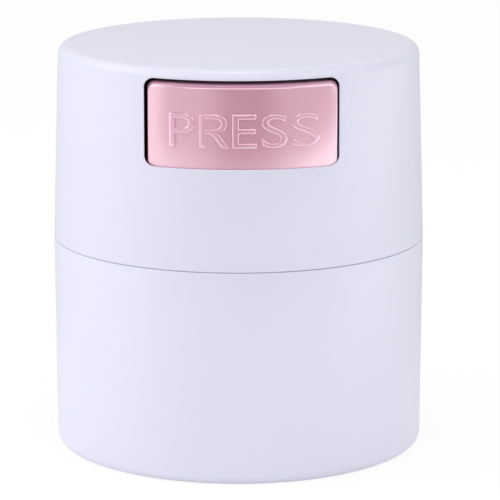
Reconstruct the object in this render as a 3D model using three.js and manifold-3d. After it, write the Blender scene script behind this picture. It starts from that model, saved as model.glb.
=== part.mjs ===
// Lash glue container: a round press-button jar that keeps opened bottles of lash adhesive dry and airtight.
// The base is an outer shell with a cup hung inside it. The cup's neck rises into the lid.
// The lid's plug carries a silicone ring that wipes the inside of the neck, and a vent with a valve on its deck.
// The button drives a slider whose ramps lift the valve off its seat, so that air can pass while the lid is
// pushed down or pulled off. Springs close the vent and push the button out again.
// Millimetres, +Z up, origin at the centre of the foot, button facing -Y.
import * as THREE from "three";
import { mergeVertices } from "three/addons/utils/BufferGeometryUtils.js";
import Module from "manifold-3d";

const wasm = await Module();
wasm.setup();

// Outer form
const OVERALL_HEIGHT = 91.6;
const SEAM_HEIGHT = 47.8; // where the lid seats
const SEAM_RADIUS = 42; // the widest place
const TOP_TAPER = 1.3; // narrower by this at the top of the lid's wall
const FOOT_TAPER = 0.3; // narrower by this at the foot
const TOP_FILLET = 2.2;
const FOOT_FILLET = 2.0;
const SHUT_LINE = 0.1; // gap seen between the lid and the base
const RIM_ROUND = 0.25; // broken edge on both sides of the shut line

// Base shell and inner cup
const SHELL_WALL = 2.2;
const SHELL_FLOOR = 2.0;
const FOOT_RING = 4.7; // width of the flat ring that the jar stands on
const FOOT_RECESS = 0.8;
const LEDGE_WIDTH = 0.9; // the shell's ledge that the cup's flange hangs on
const FLANGE_THICKNESS = 2.0;
const CUP_WALL = 1.8;
const CUP_FLOOR = 1.9;
const CUP_LIFT = 0.3; // air under the cup
const CUP_FILLET = 3.0;
const LIP_ROUND = 0.8; // rounded mouth of the neck
const PRESS_GAP = 0.15; // round pieces that are pressed together

// Lid shell
const RIM_WIDTH = 2.8; // the lid's rim, from its bore to the seam radius
const LID_TOP_WALL = 2.0;
const LID_INNER_FILLET = 1.2;
const GATE_RADIUS = 1.7; // dimple in the middle of the top, where the mould was filled
const GATE_DEPTH = 0.15;
const DECK_STEP = 0.7; // the step in the lid's wall that the deck is pressed against
const SKIRT_CLEARANCE = 0.5; // lid bore to neck
const RIM_LEAD_IN = 0.5;

// Button window
const WINDOW_WIDTH = 42.0;
const WINDOW_HEIGHT = 19.15;
const WINDOW_DROP = 2.25; // from the lid's top down to the window
const WINDOW_CORNER = 2.2;
const SILL_LAP = 0.6; // the sill's edge stands this far over the button's lower edge
const SILL_BEVEL = 0.75; // and slopes down behind itself over this depth

// Plug: the deck that closes the lid from below, with the skirt that enters the neck
const DECK_DROP = 2.7; // from the window's lower edge down to the deck
const DECK_THICKNESS = 2.0;
const NECK_GAP = 0.4; // deck to neck
const PLUG_DEPTH = 11.0;
const PLUG_CLEARANCE = 0.6; // plug skirt to neck
const PLUG_WALL = 3.0;
const PLUG_CHAMFER = 0.8;

// Plug seal
const SEAL_HEIGHT = 5.0;
const SEAL_DROP = 4.0; // from the deck down to the groove
const GROOVE_DEPTH = 1.4;
const SEAL_FIT = 0.15; // ring to groove, and lips to neck
const LIP_WIDTH = 0.4;
const LIP_SLOPE = 0.8;

// Press button
const BUTTON_GAP = 0.5;
const BUTTON_SETTLE = 0.4; // the button rests this much low in its window
const BUTTON_ASIDE = 0.2; // and this much to the right, within its play
const BUTTON_RECESS = 0.25; // face below the lid's surface
const BUTTON_FACE = 1.8;
const BUTTON_ROUND = 1.1; // rounded edge of the face
const BUTTON_WALL = 1.5;
const BUTTON_TRAVEL = 3.0;
const TRAY_INSET = 0.5; // how far the button's walls reach past the lid's inner wall
const LUG_REACH = 1.6; // the lugs under the button, behind the sill, that keep it in its window
const LUG_THICKNESS = 1.5;
const LUG_WIDTH = 6.0;
const LUG_SPREAD = 12.0; // lugs to either side of the middle
const PEG_RADIUS = 2.0;
const PEG_SPREAD = 9.0; // pegs to either side of the middle

// Slider
const RUN_CLEARANCE = 0.3;
const RUNNER_HALF_WIDTH = 11.0;
const RUNNER_THICKNESS = 2.5;
const RUNNER_TAIL = 6.0; // behind the valve's slot
const SLOT_CLEARANCE = 0.6; // slot to valve
const CROSSBAR_HALF_WIDTH = 18.0;
const CROSSBAR_THICKNESS = 2.5;
const CROSSBAR_MARGIN = 1.5; // over the peg holes
const RAIL_WIDTH = 1.6;
const RAIL_RISE = 0.6; // rails above the runner's top
const HOLD_DOWN_WIDTH = 1.4;
const HOLD_DOWN_EDGE = 0.7; // from the runner's edge to the hold-down rib

// Valve
const VENT_RADIUS = 2.0;
const SEAT_WIDTH = 1.2;
const SEAT_HEIGHT = 1.0;
const PAD_RADIUS = 4.4;
const PAD_THICKNESS = 1.5;
const SPIGOT_RADIUS = 1.2;
const SPIGOT_LENGTH = 0.9;
const SPIGOT_FIT = 0.05;
const DISC_THICKNESS = 1.2;
const STEM_RADIUS = 1.7;
const STEM_ENTRY = 1.5; // stem inside its guide, at rest
const GUIDE_LENGTH = 5.6;
const GUIDE_WALL = 2.0;
const GUIDE_CLEARANCE = 0.25;
const WING_HALF_WIDTH = 1.6;
const WING_REACH = 8.0;
const WING_THICKNESS = 1.2;
const RAMP_SLOPE = 0.6; // valve lift for each millimetre of button travel
const RAMP_WIDTH = 2.4;
const RAMP_END = 0.6; // ramp left past the wing when the button is fully pressed

// Springs
const BUTTON_SPRING = { length: 14.0, radius: 2.2, wire: 0.6, turns: 7 };
const SPRING_SPREAD = 15.0;
const SPRING_RISE = 7.5; // over the deck
const SPIGOT_IN_SPRING = { radius: 1.5, length: 2.5 };
const POST_THICKNESS = 2.5;
const POST_MARGIN = 1.2; // round the spring
const VALVE_SPRING = { radius: 2.9, wire: 0.5, turns: 5 };
const SPRING_END_GAP = 0.05;

// Facets
const ROUND_SIDES = 60;
const SMALL_SIDES = 24;
const FILLET_STEPS = 4;
const COIL_STEPS = 8;
const WIRE_SIDES = 5;
const FUSE = 0.4; // how far joined shapes run into each other

// Radii that follow from the sizes above
const topRadius = SEAM_RADIUS - TOP_TAPER;
const footRadius = SEAM_RADIUS - FOOT_TAPER;
const shellBore = SEAM_RADIUS - SHELL_WALL;
const rebateRadius = shellBore + LEDGE_WIDTH;
const lidBore = SEAM_RADIUS - RIM_WIDTH;
const upperBore = lidBore - DECK_STEP;
const neckOuter = lidBore - SKIRT_CLEARANCE;
const neckInner = neckOuter - CUP_WALL;
const plugRadius = neckInner - PLUG_CLEARANCE;
const plugInner = plugRadius - PLUG_WALL;
const grooveRadius = plugRadius - GROOVE_DEPTH;

// Heights in the base, from the foot
const rimTop = SEAM_HEIGHT - SHUT_LINE;
const ledgeHeight = SEAM_HEIGHT - FLANGE_THICKNESS;
const shellFloorTop = FOOT_RECESS + SHELL_FLOOR;
const cupBottom = shellFloorTop + CUP_LIFT;
const cupFloorTop = cupBottom + CUP_FLOOR;

// Heights in the lid, from the seam
const lidHeight = OVERALL_HEIGHT - SEAM_HEIGHT;
const cavityTop = lidHeight - LID_TOP_WALL;
const windowTop = lidHeight - WINDOW_DROP;
const windowBottom = windowTop - WINDOW_HEIGHT;
const openingBottom = windowBottom - SILL_LAP; // behind the sill's edge
const openingMiddle = (windowTop + openingBottom) / 2;
const deckTop = windowBottom - DECK_DROP;
const deckBottom = deckTop - DECK_THICKNESS;
const plugBottom = deckBottom - PLUG_DEPTH;
const grooveTop = deckBottom - SEAL_DROP;
const grooveBottom = grooveTop - SEAL_HEIGHT;
const neckTop = SEAM_HEIGHT + deckBottom - NECK_GAP;

// Heights in the lid's mechanism, from the deck
const ceiling = cavityTop - deckTop;
const buttonMiddle = openingMiddle - deckTop - BUTTON_SETTLE;
const runnerBottom = RUN_CLEARANCE;
const runnerTop = runnerBottom + RUNNER_THICKNESS;
const padTop = SEAT_HEIGHT + PAD_THICKNESS;
const wingBottom = runnerTop + RUN_CLEARANCE;
const wingTop = wingBottom + RAMP_SLOPE * 2 * WING_HALF_WIDTH + WING_THICKNESS;
const guideBottom = ceiling - GUIDE_LENGTH;

// Places across the lid: x to the side, y towards the back
const chord = (radius, x) => Math.sqrt(radius * radius - x * x);
const buttonHalfWidth = WINDOW_WIDTH / 2 - BUTTON_GAP;
const buttonHalfHeight = (windowTop - openingBottom) / 2 - BUTTON_GAP;
const buttonCorner = WINDOW_CORNER - BUTTON_GAP;
const lugOuter = LUG_SPREAD + LUG_WIDTH / 2;
const lugFront = -chord(upperBore, lugOuter + BUTTON_ASIDE) + RUN_CLEARANCE;
const lugBack = lugFront + LUG_THICKNESS;
const trayBack = -chord(upperBore, buttonHalfWidth) + TRAY_INSET;
const crossbarFront = trayBack + RUN_CLEARANCE;
const crossbarBack = crossbarFront + CROSSBAR_THICKNESS;
const postFront = crossbarBack + BUTTON_SPRING.length;
const slotHalfWidth = PAD_RADIUS + SLOT_CLEARANCE;
const runnerBack = slotHalfWidth + RUNNER_TAIL;
const stopFront = runnerBack + BUTTON_TRAVEL + RUN_CLEARANCE;
const railFront = crossbarBack + BUTTON_TRAVEL + RUN_CLEARANCE;
const railInner = RUNNER_HALF_WIDTH + RUN_CLEARANCE;
const railOuter = railInner + RAIL_WIDTH;

// Outer radius of the lid at a height over the seam
const lidRadius = (height) => SEAM_RADIUS - (TOP_TAPER * height) / (lidHeight - TOP_FILLET);

// A closed geometry as a solid, with its shared corners merged and its collapsed triangles dropped
function solid(geometry) {
  const bare = geometry.clone();
  bare.deleteAttribute("normal");
  bare.deleteAttribute("uv");
  const merged = mergeVertices(bare, 1e-4);
  const kept = [];
  const index = merged.index.array;
  for (let i = 0; i < index.length; i += 3) {
    const [a, b, c] = index.slice(i, i + 3);
    if (a !== b && b !== c && c !== a) kept.push(a, b, c);
  }
  return new wasm.Manifold(
    new wasm.Mesh({
      numProp: 3,
      vertProperties: merged.attributes.position.array,
      triVerts: new Uint32Array(kept),
    }),
  );
}

// A solid as a geometry with flat facets
function facets(body) {
  const mesh = body.getMesh();
  const geometry = new THREE.BufferGeometry();
  geometry.setAttribute("position", new THREE.BufferAttribute(mesh.vertProperties, 3));
  geometry.setIndex(new THREE.BufferAttribute(mesh.triVerts, 1));
  const flat = geometry.toNonIndexed();
  flat.computeVertexNormals();
  return flat;
}

const joined = (...bodies) => bodies.reduce((a, b) => a.add(b));
const cut = (body, ...tools) => tools.reduce((a, b) => a.subtract(b), body);

// Points of a quarter-round or other arc, in radius and height
function arc(radius, height, size, from, to) {
  const points = [];
  for (let i = 0; i <= FILLET_STEPS; i++) {
    const angle = THREE.MathUtils.degToRad(from + ((to - from) * i) / FILLET_STEPS);
    points.push([radius + size * Math.cos(angle), height + size * Math.sin(angle)]);
  }
  return points;
}

// A turned solid from its [radius, height] outline, which keeps the material on its left
function turned(outline, closes, sides = ROUND_SIDES) {
  const points = outline.map(([radius, height]) => new THREE.Vector2(radius, height));
  if (closes) points.push(points[0].clone());
  return solid(new THREE.LatheGeometry(points, sides).rotateX(Math.PI / 2));
}

// A block between two corners
function block(low, high) {
  const size = high.map((value, k) => value - low[k]);
  const middle = high.map((value, k) => (value + low[k]) / 2);
  return solid(new THREE.BoxGeometry(...size).translate(...middle));
}

// The same block on both sides of the middle plane
function mirroredBlocks([x0, y0, z0], [x1, y1, z1]) {
  return joined(block([x0, y0, z0], [x1, y1, z1]), block([-x1, y0, z0], [-x0, y1, z1]));
}

// A round bar along Y
function barAlongY(radius, x, z, from, to) {
  const bar = new THREE.CylinderGeometry(radius, radius, to - from, SMALL_SIDES);
  return solid(bar.translate(x, (from + to) / 2, z));
}

// A rounded rectangle in X and Z, as an outline for walls and windows
function roundedRectangle(halfWidth, halfHeight, corner) {
  const shape = new THREE.Shape();
  shape.absarc(halfWidth - corner, -halfHeight + corner, corner, -Math.PI / 2, 0);
  shape.absarc(halfWidth - corner, halfHeight - corner, corner, 0, Math.PI / 2);
  shape.absarc(-halfWidth + corner, halfHeight - corner, corner, Math.PI / 2, Math.PI);
  shape.absarc(-halfWidth + corner, -halfHeight + corner, corner, Math.PI, 1.5 * Math.PI);
  return shape;
}

// That outline, centred at a height and run along Y between two places
function runAlongY(shape, height, from, to) {
  const run = new THREE.ExtrudeGeometry(shape, {
    depth: to - from,
    bevelEnabled: false,
    curveSegments: FILLET_STEPS,
  });
  return solid(run.rotateX(Math.PI / 2).translate(0, to, height));
}

// A [y, z] outline run along X between two places
function runAlongX(outline, from, to) {
  const shape = new THREE.Shape(outline.map(([y, z]) => new THREE.Vector2(y, z)));
  const run = new THREE.ExtrudeGeometry(shape, { depth: to - from, bevelEnabled: false });
  const turn = new THREE.Matrix4().makeBasis(
    new THREE.Vector3(0, 1, 0),
    new THREE.Vector3(0, 0, 1),
    new THREE.Vector3(1, 0, 0),
  );
  return solid(run.applyMatrix4(turn).translate(from, 0, 0));
}

// A compression spring along Z, from 0 to its length
class Coil extends THREE.Curve {
  constructor({ radius, turns }, rise, start) {
    super();
    Object.assign(this, { radius, turns, rise, start });
  }
  getPoint(t) {
    const angle = 2 * Math.PI * this.turns * t;
    return new THREE.Vector3(
      this.radius * Math.cos(angle),
      this.radius * Math.sin(angle),
      this.start + this.rise * t,
    );
  }
}

function spring(sizes, length) {
  const inset = sizes.wire / 2 + SPRING_END_GAP;
  const wire = new THREE.Shape();
  for (let i = 0; i < WIRE_SIDES; i++) {
    const angle = (2 * Math.PI * i) / WIRE_SIDES;
    const point = [(Math.cos(angle) * sizes.wire) / 2, (Math.sin(angle) * sizes.wire) / 2];
    if (i === 0) wire.moveTo(...point);
    else wire.lineTo(...point);
  }
  wire.closePath();
  return new THREE.ExtrudeGeometry(wire, {
    steps: COIL_STEPS * sizes.turns,
    extrudePath: new Coil(sizes, length - 2 * inset, inset),
  });
}

// A rounded outline that lies on the lid's curve, sunk below its surface. Heights are from the seam.
// Its lower half runs from left to right and its upper half back again, so that ends pair up in x.
function ringOnLid(halfWidth, bottom, top, corner, depth) {
  const middle = (bottom + top) / 2;
  const halfHeight = (top - bottom) / 2;
  const flat = halfWidth - corner;
  const across = [];
  for (let i = 0; i <= FILLET_STEPS; i++) {
    const angle = (Math.PI / 2) * (1 - i / FILLET_STEPS);
    across.push([-flat - corner * Math.sin(angle), halfHeight - corner * (1 - Math.cos(angle))]);
  }
  for (let i = 1; i < ROUND_SIDES / 4; i++) {
    across.push([-flat + (8 * flat * i) / ROUND_SIDES, halfHeight]);
  }
  for (let i = 0; i <= FILLET_STEPS; i++) {
    const angle = ((Math.PI / 2) * i) / FILLET_STEPS;
    across.push([flat + corner * Math.sin(angle), halfHeight - corner * (1 - Math.cos(angle))]);
  }
  const onLid = ([x, rise]) => [x, -chord(lidRadius(middle + rise) - depth, x), middle + rise];
  const lower = across.map(([x, rise]) => onLid([x, -rise]));
  const upper = across.map(([x, rise]) => onLid([x, rise])).reverse();
  return [...lower, ...upper];
}

// A plate skinned over a run of rings, the first at its back and the last on its face
function skinned(rings) {
  const count = rings[0].length;
  const triangles = [];
  const quad = (a, b, c, d) => triangles.push(a, b, c, a, c, d);
  const at = (ring, i) => rings[ring][i % count];
  for (let ring = 0; ring + 1 < rings.length; ring++) {
    for (let i = 0; i < count; i++) {
      quad(at(ring, i), at(ring, i + 1), at(ring + 1, i + 1), at(ring + 1, i));
    }
  }
  const last = rings.length - 1;
  for (let i = 0; i + 1 < count / 2; i++) {
    const opposite = count - 1 - i;
    quad(at(last, i), at(last, i + 1), at(last, opposite - 1), at(last, opposite));
    quad(at(0, opposite), at(0, opposite - 1), at(0, i + 1), at(0, i));
  }
  const geometry = new THREE.BufferGeometry();
  geometry.setAttribute("position", new THREE.Float32BufferAttribute(triangles.flat(), 3));
  return solid(mergeVertices(geometry, 1e-4));
}

// Base shell: a tapered tub on a foot ring, with a ledge inside its rim
function baseShell() {
  const footInner = footRadius - FOOT_FILLET - FOOT_RING;
  return turned([
    [0, FOOT_RECESS],
    [footInner - FOOT_RECESS, FOOT_RECESS],
    [footInner, 0],
    ...arc(footRadius - FOOT_FILLET, FOOT_FILLET, FOOT_FILLET, -90, 0),
    [SEAM_RADIUS, rimTop - RIM_ROUND],
    [SEAM_RADIUS - RIM_ROUND, rimTop],
    [rebateRadius, rimTop],
    [rebateRadius, ledgeHeight],
    [shellBore, ledgeHeight],
    [shellBore - FOOT_TAPER, shellFloorTop + FOOT_FILLET],
    [shellBore - FOOT_TAPER - FOOT_FILLET, shellFloorTop],
    [0, shellFloorTop],
  ]);
}

// Inner cup: hangs by its flange on the shell's ledge, and its neck rises into the lid
function innerCup() {
  const flangeRadius = rebateRadius - PRESS_GAP;
  const mouth = LIP_ROUND;
  return turned([
    [0, cupBottom],
    ...arc(neckOuter - CUP_FILLET, cupBottom + CUP_FILLET, CUP_FILLET, -90, 0),
    [neckOuter, ledgeHeight],
    [flangeRadius, ledgeHeight],
    [flangeRadius, SEAM_HEIGHT],
    [neckOuter, SEAM_HEIGHT],
    ...arc(neckOuter - mouth, neckTop - mouth, mouth, 0, 90),
    ...arc(neckInner + mouth, neckTop - mouth, mouth, 90, 180),
    ...arc(neckInner - CUP_FILLET, cupFloorTop + CUP_FILLET, CUP_FILLET, 0, -90),
    [0, cupFloorTop],
  ]);
}

// Lid shell: a cap with the button's window, the valve's guide and the ribs that hold the slider down
function lidShell() {
  const cap = turned([
    [0, cavityTop],
    ...arc(upperBore - LID_INNER_FILLET, cavityTop - LID_INNER_FILLET, LID_INNER_FILLET, 90, 0),
    [upperBore, deckTop],
    [lidBore, deckTop],
    [lidBore, RIM_LEAD_IN],
    [lidBore + RIM_LEAD_IN, 0],
    [SEAM_RADIUS - RIM_ROUND, 0],
    [SEAM_RADIUS, RIM_ROUND],
    ...arc(topRadius - TOP_FILLET, lidHeight - TOP_FILLET, TOP_FILLET, 0, 90),
    [GATE_RADIUS, lidHeight],
    [GATE_RADIUS - GATE_DEPTH, lidHeight - GATE_DEPTH],
    [0, lidHeight - GATE_DEPTH],
  ]);
  const windowRing = (bottom, depth) =>
    ringOnLid(WINDOW_WIDTH / 2, bottom, windowTop, WINDOW_CORNER, depth);
  const window = skinned([
    windowRing(openingBottom, SEAM_RADIUS - upperBore + FUSE),
    windowRing(openingBottom, SILL_BEVEL),
    windowRing(windowBottom, 0),
    windowRing(windowBottom, -FUSE),
  ]);
  const bore = STEM_RADIUS + GUIDE_CLEARANCE;
  const guide = turned(
    [
      [bore, deckTop + guideBottom],
      [bore + GUIDE_WALL, deckTop + guideBottom],
      [bore + GUIDE_WALL, cavityTop + FUSE],
      [bore, cavityTop + FUSE],
    ],
    true,
    SMALL_SIDES,
  );
  const ribOuter = RUNNER_HALF_WIDTH - HOLD_DOWN_EDGE;
  const ribs = mirroredBlocks(
    [ribOuter - HOLD_DOWN_WIDTH, railFront, deckTop + wingBottom],
    [ribOuter, runnerBack, cavityTop + FUSE],
  );
  return joined(cut(cap, window), guide, ribs);
}

// Plug: the deck and its skirt, with the vent and its seat, the slider's rails and stop, and the spring posts
function innerLid() {
  const plug = turned(
    [
      [VENT_RADIUS, deckBottom],
      [plugInner, deckBottom],
      [plugInner, plugBottom],
      [plugRadius - PLUG_CHAMFER, plugBottom],
      [plugRadius, plugBottom + PLUG_CHAMFER],
      [plugRadius, grooveBottom],
      [grooveRadius, grooveBottom],
      [grooveRadius, grooveTop],
      [plugRadius, grooveTop],
      [plugRadius, deckBottom],
      [lidBore - PRESS_GAP, deckBottom],
      [lidBore - PRESS_GAP, deckTop],
      [VENT_RADIUS + SEAT_WIDTH, deckTop],
      [VENT_RADIUS + SEAT_WIDTH / 2, deckTop + SEAT_HEIGHT],
      [VENT_RADIUS, deckTop + SEAT_HEIGHT],
    ],
    true,
  );
  const root = deckTop - FUSE;
  const railTop = deckTop + runnerTop + RAIL_RISE;
  const rails = mirroredBlocks(
    [railInner, railFront, root],
    [railOuter, stopFront + RAIL_WIDTH, railTop],
  );
  const stop = block([-railOuter, stopFront, root], [railOuter, stopFront + RAIL_WIDTH, railTop]);
  const postHalf = BUTTON_SPRING.radius + POST_MARGIN;
  const posts = mirroredBlocks(
    [SPRING_SPREAD - postHalf, postFront, root],
    [SPRING_SPREAD + postHalf, postFront + POST_THICKNESS, deckTop + SPRING_RISE + postHalf],
  );
  const spigots = [-SPRING_SPREAD, SPRING_SPREAD].map((x) =>
    barAlongY(
      SPIGOT_IN_SPRING.radius,
      x,
      deckTop + SPRING_RISE,
      postFront - SPIGOT_IN_SPRING.length,
      postFront + FUSE,
    ),
  );
  return joined(plug, rails, stop, posts, ...spigots);
}

// Plug seal: a silicone ring in the plug's groove, with two lips
function plugSeal() {
  const inner = grooveRadius + SEAL_FIT;
  const lip = neckInner - SEAL_FIT;
  const low = grooveBottom + SEAL_FIT;
  const high = grooveTop - SEAL_FIT;
  return turned(
    [
      [inner, low],
      [plugRadius, low],
      [lip, low + LIP_SLOPE],
      [lip, low + LIP_SLOPE + LIP_WIDTH],
      [plugRadius, low + 2 * LIP_SLOPE + LIP_WIDTH],
      [plugRadius, high - 2 * LIP_SLOPE - LIP_WIDTH],
      [lip, high - LIP_SLOPE - LIP_WIDTH],
      [lip, high - LIP_SLOPE],
      [plugRadius, high],
      [inner, high],
    ],
    true,
  );
}

// Press button: a curved plate with a rounded edge and walls behind it, kept in by lugs and pegged to the slider
function pressButton() {
  const faceRing = (inset, depth) =>
    ringOnLid(
      buttonHalfWidth - inset,
      deckTop + buttonMiddle - buttonHalfHeight + inset,
      deckTop + buttonMiddle + buttonHalfHeight - inset,
      Math.max(buttonCorner - inset, BUTTON_GAP),
      BUTTON_RECESS + depth,
    ).map(([x, y, height]) => [x, y, height - deckTop]);
  const rings = [faceRing(0, BUTTON_FACE)];
  for (let i = 0; i <= FILLET_STEPS; i++) {
    const angle = ((Math.PI / 2) * i) / FILLET_STEPS;
    rings.push(faceRing(BUTTON_ROUND * (1 - Math.cos(angle)), BUTTON_ROUND * (1 - Math.sin(angle))));
  }
  const plate = skinned(rings);
  const outline = roundedRectangle(buttonHalfWidth, buttonHalfHeight, buttonCorner);
  outline.holes.push(
    roundedRectangle(buttonHalfWidth - BUTTON_WALL, buttonHalfHeight - BUTTON_WALL, BUTTON_WALL),
  );
  const behindFace = (height) => lidRadius(deckTop + height) - BUTTON_RECESS - BUTTON_FACE + FUSE;
  const core = turned([
    [0, 0],
    [behindFace(0), 0],
    [behindFace(ceiling), ceiling],
    [0, ceiling],
  ]);
  const walls = runAlongY(outline, buttonMiddle, -SEAM_RADIUS, trayBack).intersect(core);
  const underside = buttonMiddle - buttonHalfHeight;
  const lugs = mirroredBlocks(
    [lugOuter - LUG_WIDTH, lugFront, underside - LUG_REACH],
    [lugOuter, lugBack, underside + FUSE],
  );
  const pegRoot = -chord(behindFace(buttonMiddle), PEG_SPREAD - PEG_RADIUS);
  const pegs = [-PEG_SPREAD, PEG_SPREAD].map((x) =>
    barAlongY(PEG_RADIUS, x, buttonMiddle, pegRoot, crossbarBack),
  );
  return joined(plate, walls, lugs, ...pegs);
}

// Slider: a runner slotted round the valve, with a crossbar for the button and two ramps for the valve's wings
function buttonSlider() {
  const outline = new THREE.Shape();
  outline.moveTo(-RUNNER_HALF_WIDTH, crossbarFront);
  outline.lineTo(RUNNER_HALF_WIDTH, crossbarFront);
  outline.lineTo(RUNNER_HALF_WIDTH, runnerBack);
  outline.lineTo(-RUNNER_HALF_WIDTH, runnerBack);
  const slot = new THREE.Path();
  slot.moveTo(-slotHalfWidth, -slotHalfWidth - BUTTON_TRAVEL);
  slot.lineTo(-slotHalfWidth, slotHalfWidth);
  slot.lineTo(slotHalfWidth, slotHalfWidth);
  slot.lineTo(slotHalfWidth, -slotHalfWidth - BUTTON_TRAVEL);
  outline.holes.push(slot);
  const plate = new THREE.ExtrudeGeometry(outline, { depth: RUNNER_THICKNESS, bevelEnabled: false });
  const runner = solid(plate.translate(0, 0, runnerBottom));
  const crossbarTop = buttonMiddle + PEG_RADIUS + CROSSBAR_MARGIN;
  const crossbar = block(
    [-CROSSBAR_HALF_WIDTH, crossbarFront, runnerBottom],
    [CROSSBAR_HALF_WIDTH, crossbarBack, crossbarTop],
  );
  const pegHoles = [-PEG_SPREAD, PEG_SPREAD].map((x) =>
    barAlongY(PEG_RADIUS + PRESS_GAP, x, buttonMiddle, crossbarFront - FUSE, crossbarBack + FUSE),
  );
  const spigots = [-SPRING_SPREAD, SPRING_SPREAD].map((x) =>
    barAlongY(
      SPIGOT_IN_SPRING.radius,
      x,
      SPRING_RISE,
      crossbarBack - FUSE,
      crossbarBack + SPIGOT_IN_SPRING.length,
    ),
  );
  const rampFront = -WING_HALF_WIDTH - BUTTON_TRAVEL - RAMP_END;
  const rampTop = runnerTop + RAMP_SLOPE * (WING_HALF_WIDTH - rampFront);
  const rampOutline = [
    [WING_HALF_WIDTH, runnerTop - FUSE],
    [WING_HALF_WIDTH, runnerTop],
    [rampFront, rampTop],
    [rampFront - RAMP_END, rampTop],
    [rampFront - RAMP_END, runnerTop - FUSE],
  ];
  const rampInner = WING_REACH - RAMP_WIDTH;
  const ramps = [-WING_REACH, rampInner].map((x) => runAlongX(rampOutline, x, x + RAMP_WIDTH));
  return joined(cut(joined(runner, crossbar), ...pegHoles), ...spigots, ...ramps);
}

// Valve stem: a disc that holds the pad, a stem that runs in the lid's guide, and wings that ride on the ramps
function valveStem() {
  const stem = turned(
    [
      [0, padTop - SPIGOT_LENGTH],
      [SPIGOT_RADIUS, padTop - SPIGOT_LENGTH],
      [SPIGOT_RADIUS, padTop],
      [PAD_RADIUS, padTop],
      [PAD_RADIUS, padTop + DISC_THICKNESS],
      [STEM_RADIUS, padTop + DISC_THICKNESS],
      [STEM_RADIUS, guideBottom + STEM_ENTRY],
      [0, guideBottom + STEM_ENTRY],
    ],
    false,
    SMALL_SIDES,
  );
  const wings = runAlongX(
    [
      [WING_HALF_WIDTH, wingBottom],
      [WING_HALF_WIDTH, wingTop],
      [-WING_HALF_WIDTH, wingTop],
      [-WING_HALF_WIDTH, wingTop - WING_THICKNESS],
    ],
    -WING_REACH,
    WING_REACH,
  );
  return joined(stem, wings);
}

// Valve pad: a silicone disc on the stem's spigot, which closes the vent
function valvePad() {
  const socket = SPIGOT_RADIUS + SPIGOT_FIT;
  const socketFloor = padTop - SPIGOT_LENGTH - SPIGOT_FIT;
  return turned(
    [
      [0, SEAT_HEIGHT],
      [PAD_RADIUS, SEAT_HEIGHT],
      [PAD_RADIUS, padTop],
      [socket, padTop],
      [socket, socketFloor],
      [0, socketFloor],
    ],
    false,
    SMALL_SIDES,
  );
}

// Materials
const plastic = (color, roughness) => new THREE.MeshStandardMaterial({ color, roughness, metalness: 0 });
const metal = (color, roughness) => new THREE.MeshStandardMaterial({ color, roughness, metalness: 1 });
const shellWhite = plastic(0xe6e6f2, 0.4);
const cupWhite = plastic(0xf0f0f4, 0.45);
const mechanismWhite = plastic(0xf2f0ea, 0.5);
const pinkPlating = metal(0xdea6bb, 0.22);
const silicone = plastic(0xf4f2f4, 0.6);
const springSteel = metal(0xc8c8cc, 0.3);

function piece(name, geometry, material) {
  const mesh = new THREE.Mesh(geometry, material);
  mesh.name = name;
  return mesh;
}

// Assembly: the lid stands on the seam, its mechanism stands on the deck, and the button and its slider
// rest a little to one side
const container = new THREE.Group();
const lid = new THREE.Group();
const mechanism = new THREE.Group();
const carriage = new THREE.Group();
lid.position.z = SEAM_HEIGHT;
mechanism.position.z = deckTop;
carriage.position.x = BUTTON_ASIDE;
container.add(
  piece("base_shell", facets(baseShell()), shellWhite),
  piece("inner_cup", facets(innerCup()), cupWhite),
  lid,
);
lid.add(
  piece("lid_shell", facets(lidShell()), shellWhite),
  piece("inner_lid", facets(innerLid()), cupWhite),
  piece("plug_seal", facets(plugSeal()), silicone),
  mechanism,
);
mechanism.add(
  carriage,
  piece("valve_stem", facets(valveStem()), mechanismWhite),
  piece("valve_pad", facets(valvePad()), silicone),
);
carriage.add(
  piece("press_button", facets(pressButton()), pinkPlating),
  piece("button_slider", facets(buttonSlider()), mechanismWhite),
);
for (const [side, x] of [
  ["left", -SPRING_SPREAD],
  ["right", SPRING_SPREAD],
]) {
  const coil = piece(
    `button_spring_${side}`,
    spring(BUTTON_SPRING, BUTTON_SPRING.length),
    springSteel,
  );
  coil.position.set(x, crossbarBack, SPRING_RISE);
  coil.rotation.x = -Math.PI / 2;
  mechanism.add(coil);
}
const closingSpring = piece("valve_spring", spring(VALVE_SPRING, guideBottom - wingTop), springSteel);
closingSpring.position.z = wingTop;
mechanism.add(closingSpring);

export default container;
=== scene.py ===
# Lash glue container: a round press-button jar in pearl white, with a rose-pink button in its lid.
# Metres, +Z up, origin at the centre of the foot, button facing -Y. Most sizes are millimetres times mm.
import math

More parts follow.
